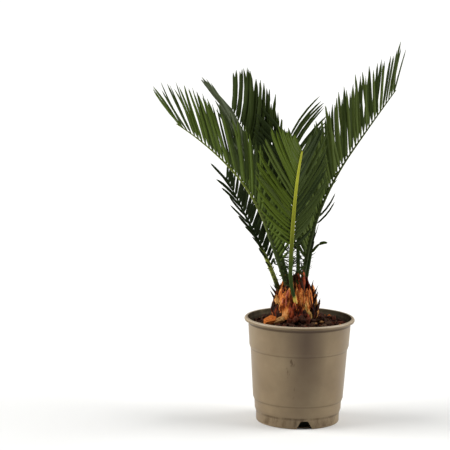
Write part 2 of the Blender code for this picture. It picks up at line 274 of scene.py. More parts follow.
pot_corners = [[size / 1000 for size in corner] for corner in POT_PROFILE]
pot_bm = turned(rounded(pot_corners), POT_SIDES)
for face in pot_bm.faces:
    middle = face.calc_center_median()
    looks_in = face.normal.x * middle.x + face.normal.y * middle.y < INWARD
    if looks_in and middle.z > DARKER_INSIDE_ABOVE:
        face.material_index = 1
pot = add_piece("pot_shell", pot_bm, [plastic, darker_inner_plastic], ["pot"])
notch_bm = bmesh.new()
for azimuth in NOTCH_AZIMUTHS:
    before = set(notch_bm.verts)
    cut = bmesh.ops.create_cube(notch_bm, size=1.0)["verts"]
    for vert in cut:
        above = vert.co.z > 0
        vert.co.x = NOTCH_REACH[1] if vert.co.x > 0 else NOTCH_REACH[0]
        vert.co.y = math.copysign(NOTCH_WIDTHS[above] / 2, vert.co.y)
        vert.co.z = NOTCH_HEIGHT if above else -CUT_PAST
    upper_corners = [
        edge for edge in notch_bm.edges if edge.verts[0] in cut and edge.verts[0].co.z > 0
        and edge.verts[1].co.z > 0 and abs(edge.verts[0].co.y - edge.verts[1].co.y) < 1e-6
    ]
    bmesh.ops.bevel(
        notch_bm, geom=upper_corners, offset=NOTCH_ROUNDING, offset_type="OFFSET", segments=3,
        profile=0.5, affect="EDGES", material=-1,
    )
    bmesh.ops.rotate(
        notch_bm, verts=[vert for vert in notch_bm.verts if vert not in before], cent=(0, 0, 0),
        matrix=Matrix.Rotation(math.radians(azimuth), 3, "Z"),
    )
notch_mesh = bpy.data.meshes.new("notches")
notch_bm.to_mesh(notch_mesh)
notch_bm.free()
notches = bpy.data.objects.new("notches", notch_mesh)
bpy.context.scene.collection.objects.link(notches)
cutting = pot.modifiers.new("notches", "BOOLEAN")
cutting.object = notches
cutting.solver = "MANIFOLD"
depsgraph = bpy.context.evaluated_depsgraph_get()
notched = bpy.data.meshes.new_from_object(pot.evaluated_get(depsgraph))
pot.modifiers.clear()
pot.data = notched
bpy.data.objects.remove(notches)
notched.shade_smooth()
notched.set_sharp_from_angle(angle=math.radians(38))


# Potting soil: dark peat with composted bark, pressed in by hand and heaped round the trunk. It
# fills the pot and stops short of the wall at the drain notches.
SOIL_SIDES = 120
SOIL_RINGS = 34
# Points on the soil's section, from the pot's axis out and back under: radius and height.
SOIL_SURFACE = ((0.0, 0.1404), (0.041, 0.1402), (0.056, 0.1368), (0.0652, 0.1318))
SOIL_BELOW = (
    (0.0662, 0.1310), (0.0635, 0.1000), (0.0590, 0.0350), (0.0490, 0.0250), (0.0485, 0.0020),
    (0.0, 0.0020),
)
SOIL_RADIUS = 0.0655
ROUGH_ABOVE = 0.1305
LUMP = 0.0014
LUMP_SCALE = 95.0
CRUMB_SCALE = 260.0
CRUMB_SHARE = 0.6
MEAN_ROUGHNESS = 1.1
NOTCH_SHADE_BELOW = 0.03


def soil_height(radius):
    """Mean height of the soil's surface at a distance from the pot's axis."""
    for (near, high), (far, low) in zip(SOIL_SURFACE, SOIL_SURFACE[1:]):
        if radius <= far:
            return high + (low - high) * (radius - near) / (far - near)
    return SOIL_SURFACE[-1][1]


# Peat lies in 3 mm crumbs and has no gloss. Near the foot it is painted near black, as shade
# inside the drain notches.
earth, tree, shader, place = new_material(
    "peat_and_bark_soil", Roughness=0.92, IOR=1.4, Specular_IOR_Level=0.15,
)
crumbs = node(
    tree, "TexVoronoi", [(place, "Object", "Vector")],
    inputs={"Scale": 1000 / 3, "Randomness": 1.0},
)
mottle = speckle(tree, place, "Object", marks=7, detail=5.0, roughness=0.65)
shade = ramp(
    tree, mottle, "Fac",
    ((0.30, "#140A06"), (0.48, "#2E180E"), (0.60, "#542A16"), (0.72, "#784024")),
)
split = node(tree, "SeparateXYZ", [(place, "Object", "Vector")])
# Painted shade: the soil near the foot, seen through the drain notches, is laid near black.
notch_shade = maths(tree, "LESS_THAN", (split, "Z"), NOTCH_SHADE_BELOW)
painted(tree, notch_shade, shade, "Color", "#12130B", [(2, shader, "Base Color")])
relief(tree, crumbs, "Distance", shader, strength=0.9, distance=0.0012)

radii = [SOIL_SURFACE[-1][0] * i / SOIL_RINGS for i in range(SOIL_RINGS + 1)]
surface = [Vector((radius, soil_height(radius))) for radius in radii]
soil_bm = turned(surface + [Vector(point) for point in SOIL_BELOW], SOIL_SIDES)
for vert in soil_bm.verts:
    radius = math.hypot(vert.co.x, vert.co.y)
    if vert.co.z > ROUGH_ABOVE and radius < SOIL_RADIUS:
        rough = noise.turbulence(vert.co * LUMP_SCALE, 4, False)
        rough += CRUMB_SHARE * noise.noise(vert.co * CRUMB_SCALE)
        vert.co.z += LUMP * (rough - MEAN_ROUGHNESS)
add_piece("soil_fill", soil_bm, [earth], ["soil"], smooth_angle=50)


# Bark chips: pine bark broken in a mill, with dull dark crusts and a few freshly split, tan ones.
# They lie in the top of the soil, every way up.
CHIP_COUNT = 620
CHIP_TONES = (
    ("dark_bark_chip", "#24120B", "#482818"),
    ("red_bark_chip", "#3E1A0E", "#6A321C"),
    ("brown_bark_chip", "#33231A", "#5C4028"),
    ("split_bark_chip", "#8A5A2C", "#C79A62"),
    ("orange_bark_chip", "#9C4A16", "#D07A34"),
)
CHIP_SHARES = (0.68, 0.16, 0.12, 0.03, 0.01)
SHORTEST_CHIP = 0.0035
LONGEST_CHIP = 0.0110
MOSTLY_SHORT = 2.2
# Ranges of a chip's breadth and thickness as shares of its length, and how far it rises in metres.
CHIP_BREADTH = (0.45, 0.8)
CHIP_THICKNESS = (0.25, 0.5)
CHIP_RISE = (-0.0010, 0.0012)
CHIP_TILT = 0.4
CHIP_UNEVENNESS = (-0.22, 0.28)
CHIP_BLUNTNESS = 0.6
TRUNK_AXIS = Vector((-0.0065, 0.0, 0.0))
TRUNK_CLEARANCE = 0.027
INSIDE_WALL = 0.0672
# Chips that are laid one by one: centre and size in metres, turns about X, Y and Z in degrees, tone.
HAND_LAID_CHIPS = (
    ((-0.0130, -0.0345, 0.1432), (0.0110, 0.0080, 0.0080), (10, 20, 15), 1),
    ((-0.0050, -0.0350, 0.1452), (0.0105, 0.0080, 0.0100), (30, -30, 40), 1),
    ((0.0035, -0.0348, 0.1462), (0.0120, 0.0080, 0.0100), (20, 30, -20), 0),
    ((0.0105, -0.0338, 0.1446), (0.0110, 0.0080, 0.0095), (10, -25, 30), 1),
    ((0.0165, -0.0315, 0.1436), (0.0100, 0.0070, 0.0080), (0, 15, -30), 0),
    ((-0.0395, -0.0350, 0.1432), (0.0190, 0.0130, 0.0110), (20, -14, 25), 4),
    ((-0.0275, -0.0350, 0.1442), (0.0175, 0.0100, 0.0085), (30, -24, 8), 3),
    ((0.0560, -0.0300, 0.1392), (0.0060, 0.0045, 0.0030), (10, 20, 30), 4),
    ((0.0340, -0.0120, 0.1428), (0.0130, 0.0026, 0.0024), (0, 25, 60), 2),
    ((0.0390, -0.0170, 0.1422), (0.0110, 0.0022, 0.0026), (20, -20, 110), 2),
    ((0.0300, -0.0260, 0.1420), (0.0070, 0.0030, 0.0030), (10, 10, 20), 3),
)


def bark_material(name, low, high):
    """Dry bark: rough, fibrous along its length, darker in its grooves."""
    made, tree, shader, place = new_material(
        name, Roughness=0.85, IOR=1.45, Specular_IOR_Level=0.2,
    )
    fibre = speckle(tree, place, "Object", marks=2.4, detail=5.0, roughness=0.65)
    ramp(tree, fibre, "Fac", ((0.35, low), (0.68, high)), [("Color", shader, "Base Color")])
    relief(tree, fibre, "Fac", shader, strength=0.6, distance=0.0008)
    return made


def add_chip(bm, centre, size, turn, dice, tone):
    """One broken chip: a blocky stone-like piece with uneven corners, turned into place."""
    made = bmesh.ops.create_icosphere(bm, subdivisions=1, radius=0.5)["verts"]
    for vert in made:
        push = 1 + dice.uniform(*CHIP_UNEVENNESS)
        vert.co = Vector([math.copysign(abs(c * 2) ** CHIP_BLUNTNESS / 2, c) * push for c in vert.co])
    laid = Matrix.Translation(centre) @ turn.to_matrix().to_4x4() @ Matrix.Diagonal((*size, 1.0))
    bmesh.ops.transform(bm, matrix=laid, verts=made)
    for face in {face for vert in made for face in vert.link_faces}:
        face.material_index = tone


chip_materials = [bark_material(*tone) for tone in CHIP_TONES]
chip_bm = bmesh.new()
dice = random.Random(41)
for i in range(CHIP_COUNT):
    radius = SOIL_RADIUS * math.sqrt(dice.uniform(0.0, 1.0))
    azimuth = dice.uniform(0.0, math.tau)
    centre = Vector((radius * math.cos(azimuth), radius * math.sin(azimuth), 0.0))
    long = SHORTEST_CHIP + (LONGEST_CHIP - SHORTEST_CHIP) * dice.random() ** MOSTLY_SHORT
    if (centre - TRUNK_AXIS).length < TRUNK_CLEARANCE or radius + long / 2 > INSIDE_WALL:
        continue
    centre.z = soil_height(radius) + dice.uniform(*CHIP_RISE)
    size = (long, long * dice.uniform(*CHIP_BREADTH), long * dice.uniform(*CHIP_THICKNESS))
    heading = dice.uniform(0, math.tau)
    tilt = dice.gauss(0.0, CHIP_TILT)
    roll = dice.gauss(0.0, CHIP_TILT)
    turn = Euler((tilt, roll, heading), "YXZ")
    add_chip(chip_bm, centre, size, turn, dice, dice.choices(range(len(CHIP_TONES)), CHIP_SHARES)[0])
for centre, size, angles, tone in HAND_LAID_CHIPS:
    turn = Euler([math.radians(angle) for angle in angles])
    add_chip(chip_bm, Vector(centre), size, turn, dice, tone)
add_piece("bark_chips", chip_bm, chip_materials, [])


# Trunk: a short starchy stem, clad in the swollen feet of its fronds and in dry scale leaves that
# overlap upward. The frond feet are orange to tan, with fibres that run up them; the scale leaves
# between them have dried dark brown, and their tips curl outward.
CORE_OUTLINE = (
    (0.1412, 0.0245), (0.1500, 0.0260), (0.1600, 0.0258), (0.1700, 0.0232), (0.1780, 0.0185),
    (0.1850, 0.0125), (0.1920, 0.0075), (0.1980, 0.0030),
)
CORE_TOP = 0.1990
CORE_SIDES = 64
CORE_ROUGH_ABOVE = 0.1420
CORE_LUMP = 0.0016
CORE_LUMP_SCALE = 130.0
CORE_MEAN_ROUGHNESS = 0.6
SLIMMED = 0.92
SCALE_WIDTHS = (0.66, 0.92, 1.0, 0.86, 0.58, 0.05)
SCALE_DEPTHS = (0.70, 1.0, 0.90, 0.66, 0.36, 0.05)
SCALE_STEPS = 14
SCALE_BOW = 0.03
RIDGE_SCALES = Vector((520.0, 520.0, 80.0))
RIDGE_DEPTH = 0.14
PIT_SCALE = 170.0
PIT_DEPTH = 0.16
WIDE_SCALE = 0.007
WIDE_SIDES = 18
NARROW_SIDES = 8
Scale = namedtuple("Scale", "tone azimuth low high low_radius high_radius width depth skew curl")
# Scales on the side that shows: tone, azimuth, heights and radii of foot and tip, width, depth,
# the tip's skew sideways and its curl outward. Angles are in degrees and sizes in millimetres.
FRONT_SCALES = (
    ("orange", 243, 144, 189, 29, 20, 16.5, 11, 8, 0),
    ("orange", 228, 150, 187, 29, 23, 12, 9, 4, 1),
    ("orange", 251, 158, 193, 26, 16, 9, 7, 6, 1),
    ("tan", 208, 162, 176, 28.5, 29.5, 13, 7, 0, 2),
    ("orange", 216, 164, 186, 26.5, 24, 10, 8, 2, 1),
    ("orange", 300, 153, 186, 28, 21, 15, 11, -6, 0),
    ("orange", 312, 156, 186, 28, 24, 11, 8, 0, 1),
    ("tan", 293, 150, 178, 29, 26, 9, 7, 4, 0),
    ("orange", 322, 159, 185, 27, 25, 9, 7, 2, 1),
    ("red", 322, 178, 213, 14, 11.5, 6, 3, 4, 0),
    ("red", 268, 143, 169, 29, 30, 13, 9, 0, 0),
    ("red", 279, 142, 164, 30, 30, 13, 10, 6, 0),
    ("dark", 291, 142, 161, 30, 31, 14, 9, 6, 0),
    ("red", 303, 142, 160, 30, 31.5, 12, 8, 0, 0),
    ("red", 258, 150, 178, 29, 26, 10, 8, 0, 0),
    ("orange", 284, 162, 186, 24, 16, 10, 7, -8, 0),
    ("orange", 272, 160, 180, 28, 24, 8, 6, -4, 0),
    ("cream", 316, 145, 166, 31.5, 32.5, 7.2, 6, -20, 0),
    ("tan", 300, 158, 170, 30.5, 30, 8.5, 6.2, 4, 0),
    ("red", 268, 157, 169, 30, 30, 6.2, 6, 2, 0),
    ("dark", 214, 142, 164, 29, 30.5, 15, 9, 0, 1),
    ("dark", 226, 142, 160, 29, 30, 10, 8, 0, 1),
    ("dark", 196, 143, 166, 29, 32, 13, 8, 0, 2),
    ("dark", 205, 176, 190, 24, 30, 5, 2.8, -4, 3),
    ("dark", 195, 174, 189, 26.2, 34.5, 5, 3.2, 0, 2),
    ("dark", 195, 167, 180, 27.5, 34, 6, 4, 0, 1),
    ("dark", 222, 174, 187, 23, 22.5, 7, 4, 8, 2),
    ("dark", 232, 174, 189.5, 20, 19, 7, 4, 0, 1),
    ("dark", 236, 170, 184, 23, 21, 6, 4, 0, 1),
    ("dark", 345, 174, 195.7, 19.5, 22, 4.8, 3, 2, 3),
    ("dark", 345, 170, 188.6, 23.5, 28.5, 5.2, 3.2, 2, 3),
    ("dark", 340, 164, 180.8, 26.5, 30, 6.4, 4, 2, 2.4),
    ("dark", 342, 150, 171.2, 29, 33, 6.9, 4.6, 2, 2.4),
    ("dark", 346, 143, 160, 30, 33, 8, 5, 0, 1),
    ("dark", 330, 143, 166, 30, 31, 9, 6, 0, 0),
    ("rose", 246, 173, 185, 28.2, 25.5, 4.4, 4, 2, 0),
    ("rose", 246, 163, 174, 29.2, 28.5, 3.8, 4, 0, 0),
    ("rose", 236, 165, 174, 29.2, 28.5, 3.6, 3.6, 0, 0),
    ("brown", 262, 172, 206, 12, 3, 9, 6, 10, 0),
    ("brown", 284, 172, 204.5, 13, 7, 8, 5, -6, 0),
    ("red", 296, 174, 201, 15, 10.5, 5, 3.6, -4, 0),
    ("brown", 240, 172, 200, 14, 8.5, 8, 5, 6, 0),
    ("brown", 310, 174, 200, 15, 12, 6, 4.5, -2, 0),
)
# Rows of scales round the hidden side, in the same order, each with the azimuths of its scales.
HIDDEN_SIDE_ROWS = (
    (143, 168, 29, 31, 14, 8.5, range(-6, 175, 18)),
    (156, 185, 26.5, 26, 13, 8, range(3, 175, 19)),
    (168, 196, 21, 17, 10.5, 6, range(10, 179, 24)),
    (176, 202, 12, 8, 8, 5, range(20, 156, 45)),
)
HIDDEN_SIDE_TONES = (("orange", 5), ("tan", 2), ("red", 3), ("brown", 2), ("dark", 4))
SCALE_TONES = {
    "orange": ((0.36, "#5E240D"), (0.45, "#AA521C"), (0.54, "#D68640"), (0.66, "#E8B478")),
    "tan": ((0.36, "#7A4018"), (0.48, "#BC7E3C"), (0.62, "#DDB070")),
    "cream": ((0.34, "#8A5A28"), (0.50, "#BE9850"), (0.66, "#DCC07A")),
    "red": ((0.38, "#2E0E07"), (0.48, "#662410"), (0.57, "#A04620"), (0.68, "#C86E50")),
    "rose": ((0.36, "#5A2014"), (0.48, "#9C4A30"), (0.62, "#CE866A")),
    "brown": ((0.40, "#180A06"), (0.52, "#40200F"), (0.68, "#7A4222")),
    "dark": ((0.38, "#120806"), (0.50, "#2C160D"), (0.64, "#5A3420")),
}
FIBRE_COUNT = 300
FIBRE_STEPS = 5
FIBRE_LENGTH = (0.006, 0.017)
FIBRE_WIDTH = (0.0003, 0.0009)
FIBRE_LIFT = (0.0, 0.0022)
FIBRE_LEAN = 9
FIBRE_FEET = (0.1425, 0.1850)
FIBRE_TONES = (("orange", 34), ("tan", 18), ("red", 26), ("brown", 12), ("dark", 10))
# Where fibres are darker: between two azimuths and below a height, with the tones found there.
DARKER_SIDES = (
    (318, 361, 1.0, ("dark", "brown", "red")),
    (-1, 15, 1.0, ("dark", "brown", "red")),
    (185, 225, 0.162, ("dark", "brown", "red")),
    (258, 318, 0.154, ("dark", "red")),
)
STEM_RADIUS = 0.028
OUTSIDE_STEM = 0.06
LONGEST_JUMP = 0.005


def between(values, share):
    """Straight-line reading of evenly spaced numbers or points at a share from 0 to 1."""
    place = min(max(share, 0.0), 1.0) * (len(values) - 1)
    low = min(int(place), len(values) - 2)
    return values[low] + (values[low + 1] - values[low]) * (place - low)


def away_from_axis(point):
    """Level direction from the trunk's axis to a point."""
    return (point - TRUNK_AXIS - Vector((0, 0, point.z))).normalized()


def sweep(bm, poses, sides, section=()):
    """Skin a closed rod through poses, matrices that each place a unit ring or a given section."""
    ring = bmesh.ops.create_circle(bm, segments=sides, radius=1.0)["verts"]
    for vert, point in zip(ring, section):
        vert.co = (*point, 0.0)
    made = list(ring)
    edges = list({edge for vert in ring for edge in vert.link_edges})
    open_ends = list(edges)
    bmesh.ops.transform(bm, matrix=poses[0], verts=ring)
    for last, pose in zip(poses, poses[1:]):
        grown = bmesh.ops.extrude_edge_only(bm, edges=edges)["geom"]
        edges = [part for part in grown if isinstance(part, bmesh.types.BMEdge)]
        ring = [part for part in grown if isinstance(part, bmesh.types.BMVert)]
        bmesh.ops.transform(bm, matrix=pose @ last.inverted(), verts=ring)
        made += ring
    bmesh.ops.holes_fill(bm, edges=open_ends + edges)
    return made


def fibrous_skin(name, stops):
    """Dry plant skin: dull, with fibres that run up it in streaks of its tones, and fine relief."""
    made, tree, shader, place = new_material(
        name, Roughness=0.65, IOR=1.45, Specular_IOR_Level=0.12,
    )
    upright = node(
        tree, "Mapping", [(place, "Object", "Vector")],
        inputs={"Scale": (1.0, 1.0, 0.18)},
    )
    fibre = speckle(tree, upright, "Vector", marks=1.6, detail=5.0, roughness=0.6)
    patch = speckle(tree, place, "Object", marks=11.8, detail=4.0, roughness=0.6)
    both = maths(tree, "ADD", (fibre, "Fac"), (patch, "Fac"))
    halved = maths(tree, "MULTIPLY", (both, 0), 0.5)
    ramp(tree, halved, 0, stops, [("Color", shader, "Base Color")])
    relief(tree, fibre, "Fac", shader, strength=0.7, distance=0.0008)
    return made


def add_scale(bm, scale, dice):
    """One scale: a spade-shaped rod that clings to the stem, bowed outward, to a pointed tip."""
    poses = []
    for i in range(SCALE_STEPS + 1):
        s = i / SCALE_STEPS
        azimuth = math.radians(scale.azimuth + scale.skew * s)
        radius = scale.low_radius + (scale.high_radius - scale.low_radius) * s
        radius *= SLIMMED if scale.width > WIDE_SCALE else 1.0
        radius += SCALE_BOW * (scale.high - scale.low) * math.sin(math.pi * s) + scale.curl * s * s
        seat = TRUNK_AXIS + Vector((
            radius * math.cos(azimuth), radius * math.sin(azimuth),
            scale.low + (scale.high - scale.low) * s,
        ))
        width = scale.width / 2 * between(SCALE_WIDTHS, s) * dice.uniform(0.94, 1.06)
        depth = scale.depth / 2 * between(SCALE_DEPTHS, s) * dice.uniform(0.90, 1.10)
        poses.append(
            Matrix.Translation(seat) @ Matrix.Rotation(azimuth + math.pi / 2, 4, "Z")
            @ Matrix.Diagonal((width, depth, 1.0, 1.0))
        )
    for vert in sweep(bm, poses, WIDE_SIDES if scale.width > WIDE_SCALE else NARROW_SIDES):
        rough = noise.noise(vert.co * RIDGE_SCALES) * RIDGE_DEPTH * scale.depth
        rough += noise.noise(vert.co * PIT_SCALE) * PIT_DEPTH * scale.depth
        vert.co += away_from_axis(vert.co) * rough


def add_fibre(bm, stem, azimuth, low, dice):
    """One dry strip of a split scale: it follows the stem's skin upward and lifts at its tip."""
    length = dice.uniform(*FIBRE_LENGTH)
    lean = math.radians(dice.gauss(0, FIBRE_LEAN))
    width = dice.uniform(*FIBRE_WIDTH)
    lift = dice.uniform(*FIBRE_LIFT)
    poses = []
    for i in range(FIBRE_STEPS + 1):
        s = i / FIBRE_STEPS
        turn = azimuth + lean * length * s / STEM_RADIUS
        ray = Vector((-math.cos(turn), -math.sin(turn), 0.0))
        start = TRUNK_AXIS - ray * OUTSIDE_STEM + Vector((0, 0, low + length * s))
        hit = stem.ray_cast(start, ray)[0]
        if hit is None:
            break
        seat = hit - ray * (lift * s * s)
        if poses and (seat - poses[-1].translation).length > LONGEST_JUMP:
            break
        taper = 0.5 + 0.5 * math.sin(math.pi * min(1.0, s + 0.3)) if s < 1 else 0.15
        poses.append(
            Matrix.Translation(seat) @ Matrix.Rotation(turn + math.pi / 2, 4, "Z")
            @ Matrix.Diagonal((width * taper, width * 0.6 * taper, 1.0, 1.0))
        )
    if len(poses) > 3:
        sweep(bm, poses, 5)


skins = {tone: fibrous_skin(f"{tone}_dry_scale_skin", stops) for tone, stops in SCALE_TONES.items()}
core_points = [Vector((radius, height)) for height, radius in CORE_OUTLINE]
core_bm = turned([Vector((0.0, CORE_OUTLINE[0][0])), *core_points, Vector((0.0, CORE_TOP))], CORE_SIDES)
bmesh.ops.subdivide_edges(core_bm, edges=core_bm.edges, cuts=1, use_grid_fill=True)
bmesh.ops.translate(core_bm, vec=TRUNK_AXIS, verts=core_bm.verts)
for vert in core_bm.verts:
    if vert.co.z > CORE_ROUGH_ABOVE:
        rough = noise.turbulence(vert.co * CORE_LUMP_SCALE, 3, False) - CORE_MEAN_ROUGHNESS
        vert.co += away_from_axis(vert.co) * CORE_LUMP * rough

dice = random.Random(7)
rows = list(FRONT_SCALES)
hidden_tones, hidden_shares = zip(*HIDDEN_SIDE_TONES)
for low, high, low_radius, high_radius, width, depth, azimuths in HIDDEN_SIDE_ROWS:
    for azimuth in azimuths:
        tone = dice.choices(hidden_tones, hidden_shares)[0]
        rows.append((
            tone, azimuth + dice.uniform(-5, 5), low, high + dice.uniform(-2, 4), low_radius,
            high_radius, width * dice.uniform(0.9, 1.1), depth, dice.uniform(-6, 6),
            dice.uniform(0, 3) if tone == "dark" else 0,
        ))
scales = [
    Scale(tone, azimuth, *(size / 1000 for size in sizes), skew, curl / 1000)
    for tone, azimuth, *sizes, skew, curl in rows
]
scale_bms = {tone: bmesh.new() for tone in SCALE_TONES}
for scale in scales:
    add_scale(scale_bms[scale.tone], scale, dice)
stem_bm = core_bm.copy()
stem_mesh = bpy.data.meshes.new("stem")
for scale_bm in scale_bms.values():
    scale_bm.to_mesh(stem_mesh)
    stem_bm.from_mesh(stem_mesh)
bpy.data.meshes.remove(stem_mesh)
stem = BVHTree.FromBMesh(stem_bm)
stem_bm.free()
fibre_tones, fibre_shares = zip(*FIBRE_TONES)
for i in range(FIBRE_COUNT):
    azimuth = dice.uniform(0, 360)
    low = dice.uniform(*FIBRE_FEET)
    tone = dice.choices(fibre_tones, fibre_shares)[0]
    for first, last, below, darker in DARKER_SIDES:
        if first < azimuth < last and low < below:
            tone = dice.choice(darker)
            break
    add_fibre(scale_bms[tone], stem, math.radians(azimuth), low, dice)
add_piece("trunk_core", core_bm, [skins["dark"]], ["trunk"], smooth_angle=60)
for tone, scale_bm in scale_bms.items():
    bmesh.ops.recalc_face_normals(scale_bm, faces=scale_bm.faces)
    add_piece(f"{tone}_scales", scale_bm, [skins[tone]], ["trunk"], smooth_angle=60)


# Fronds: each is a stiff, tapering rib that grows from the crown, with two rows of narrow, leathery
# leaflets folded up into a V. Below them the petiole carries dried spines and stunted leaflets.
# The ribs repeat the CAD fronds.

# A row of leaflets, read evenly from its first to its last: spread from the rib, fold out of the
# flat and twist in degrees, length in millimetres, and breadth as a share of the usual one.
Row = namedtuple(
    "Row", "spreads folds lengths curve upper under twist breadth stride",
    defaults=((8, 8), (1.0, 1.0), 1),
)
# A frond's azimuth, from +X towards +Y, drifts along its rib, and its leans from the vertical are
# read evenly from foot to tip. Its first share, bare, has no leaflets, and shift moves its foot
# sideways, fading out at a share of its length. Its rows are left and right of the upper face.
Frond = namedtuple(
    "Frond", "name azimuth drift leans length foot bare rib_tones rib_places left right "
    "girth shift feet stunted",
    defaults=((1.0, 1.0), (0.0, 1.0), "leaf_dark", 9),
)
FRONDS = (
    Frond(
        "frond_right", azimuth=4, drift=9, leans=(0.5, 18.7, 34, 36), length=0.306,
        foot=(0.0035, -0.0020, 0.178), shift=(-0.003, 0.16), bare=0.15, girth=(1.05, 1.0, 0.95, 1.0, 1.1),
        rib_tones=("#4A2E1C", "#2E3618", "#2E3818", "#454E20"), rib_places=(0.01, 0.08, 0.30, 0.75),
        left=Row(
            (58, 48, 42, 40, 39, 38, 35), (26, 32, 40, 40, 40, 32, 22),
            (28, 82, 100, 100, 92, 84, 80), 0.02, "leaf_dark", "leaf_olive", twist=(-22, -18, -4, 6),
            breadth=(1.0, 1.05, 1.05, 0.90, 0.78, 0.80),
        ),
        right=Row(
            (46, 42, 42, 45, 49, 50, 49), (38, 48, 58, 64, 62, 56, 32),
            (28, 82, 100, 100, 92, 84, 80), 0.02, "leaf_dark", "leaf_olive", twist=(-26, -22, -10, 0),
            breadth=(1.0, 1.1, 1.1, 0.95, 0.85, 0.85),
        ),
    ),
    Frond(
        "frond_back_right", azimuth=66, drift=0, leans=(8, 14, 24, 38), length=0.190,
        foot=(0.0105, 0.0110, 0.178), shift=(-0.0055, 0.5), bare=0.25, girth=(0.8, 0.8),
        rib_tones=("#3A3A1E", "#2A3A1A", "#2F3E1C", "#3A4820"), rib_places=(0.01, 0.08, 0.30, 0.62),
        left=Row(
            (39, 46, 43, 29, 24), (54, 68, 64, 44, 48), (16, 52, 55, 50, 44),
            0.02, "leaf_dark", "leaf_dark", twist=(20, 20),
        ),
        right=Row(
            (45, 46, 52, 57, 70), (52, 62, 70, 76, 78), (16, 52, 55, 50, 44),
            0.02, "leaf_black", "leaf_dark",
        ),
        stunted=1,
    ),
    Frond(
        "frond_back", azimuth=98, drift=9, leans=(6, 14, 23, 36), length=0.217,
        foot=(-0.0030, 0.0150, 0.180), bare=0.24, girth=(0.85, 0.85),
        rib_tones=("#3E3A1E", "#364A1E", "#46562A", "#5A6A30"), rib_places=(0.01, 0.08, 0.30, 0.62),
        left=Row(
            (41, 39, 37, 36, 38), (-12, -20, -16, -12, -2), (28, 90, 90, 80, 66),
            0.02, "leaf_black", "leaf_dark",
        ),
        right=Row(
            (62, 51, 51, 42, 44), (64, 44, 44, 14, 26), (30, 94, 90, 82, 70),
            -0.05, "leaf_moss", "leaf_moss", twist=(14, 14), breadth=(0.68, 0.68),
        ),
    ),
    Frond(
        "frond_back_left", azimuth=130, drift=2, leans=(25, 22, 32, 44), length=0.275,
        foot=(-0.0142, 0.0115, 0.178), bare=0.20,
        rib_tones=("#4A2E20", "#2E3E1A", "#48582A", "#5E6A34"), rib_places=(0.01, 0.08, 0.30, 0.62),
        left=Row(
            (55, 51, 53, 48, 50), (34, 34, 38, 34, 28), (30, 104, 113, 90, 70),
            0.02, "leaf_grey", "leaf_grey", twist=(40, 50),
        ),
        right=Row(
            (48, 33, 26, 25, 26, 27, 31), (-2, 12, 30, 38, 48, 50, 52),
            (34, 94, 116, 119, 105, 90, 57), 0.03, "leaf_dark", "leaf_black", twist=(0, 0),
            breadth=(1.25, 1.25, 1.22, 1.15, 1.10),
        ),
    ),
    Frond(
        "frond_left_low", azimuth=158, drift=-4, leans=(21, 30, 31, 31), length=0.172,
        foot=(-0.0290, 0.0040, 0.178), bare=0.18, girth=(1.08, 1.1),
        rib_tones=("#56602E", "#848C42", "#7C8638", "#24321A"), rib_places=(0.06, 0.16, 0.30, 0.42),
        left=Row(
            (47, 53, 52, 50, 46), (10, 14, 14, 12, 10), (16, 40, 52, 52, 42),
            -0.07, "leaf_black", "leaf_black", twist=(40, 40), breadth=(0.85, 0.85), stride=2,
        ),
        right=Row(
            (48, 54, 54, 50, 42), (26, 16, 10, 6, 2), (8, 46, 52, 44, 26),
            0.0, "leaf_black", "leaf_black", twist=(-36, -40), breadth=(0.9, 1.4, 1.25, 1.0, 0.9),
        ),
        feet="leaf_olive", stunted=1,
    ),
    Frond(
        "frond_left", azimuth=196, drift=1, leans=(20, 21, 44, 58), length=0.287,
        foot=(-0.0153, -0.0090, 0.178), bare=0.15, girth=(1.0, 0.95, 0.95, 1.0, 1.1),
        rib_tones=("#4A2E20", "#2E3A1A", "#46522A", "#6A7432"), rib_places=(0.01, 0.08, 0.30, 0.62),
        left=Row(
            (58, 45, 36, 32, 32, 36, 32), (34, 34, 34, 38, 46, 46, 26),
            (28, 82, 98, 104, 102, 94, 78), 0.02, "leaf_dark", "leaf_green", twist=(-26, -22, -6, 4),
            breadth=(1.0, 1.0, 0.90, 0.84, 0.80),
        ),
        right=Row(
            (63, 50, 44, 43, 50, 56, 55), (40, 40, 40, 42, 40, 40, 26),
            (28, 82, 98, 104, 102, 94, 78), 0.02, "leaf_dark", "leaf_olive", twist=(-30, -24, -10, 4),
            breadth=(1.0, 1.0, 0.88, 0.80, 0.74),
        ),
        feet="leaf_olive",
    ),
    Frond(
        "frond_front", azimuth=275, drift=0, leans=(4, 22, 46, 61), length=0.275,
        foot=(-0.0142, -0.0285, 0.1690), shift=(0.0088, 0.16), bare=0.28,
        girth=(0.66, 0.98, 1.15, 1.3, 1.4, 1.6),
        rib_tones=("#CDB060", "#C9B24C", "#26391A", "#3E4E1C", "#74781F", "#9C9E2E"),
        rib_places=(0.0, 0.018, 0.034, 0.24, 0.48, 0.80),
        left=Row(
            (75, 29, 39, 33, 12), (54, 22, 52, 54, 32), (40, 88, 88, 68, 38),
            0.02, "leaf_dark", "leaf_moss", twist=(35, 35),
        ),
        right=Row(
            (83, 40, 45, 32, 18), (56, 18, 50, 50, 26), (40, 88, 88, 68, 38),
            0.02, "leaf_dark", "leaf_bright", twist=(25, 25),
        ),
        feet="leaf_olive",
    ),
)
LINE_STEPS = 200
RIB_STATIONS = 44
RIB_SIDES = 12
RIB_FLATNESS = 0.85
RIB_ROOT = 0.002
RIB_RADII = (0.0035, 0.0030, 0.0023, 0.0016, 0.0012, 0.0007)
LEAFLET_PITCH = 0.0064
LEAFLET_WIDTH = 0.0052
LEAFLET_THICKNESS = 0.0012
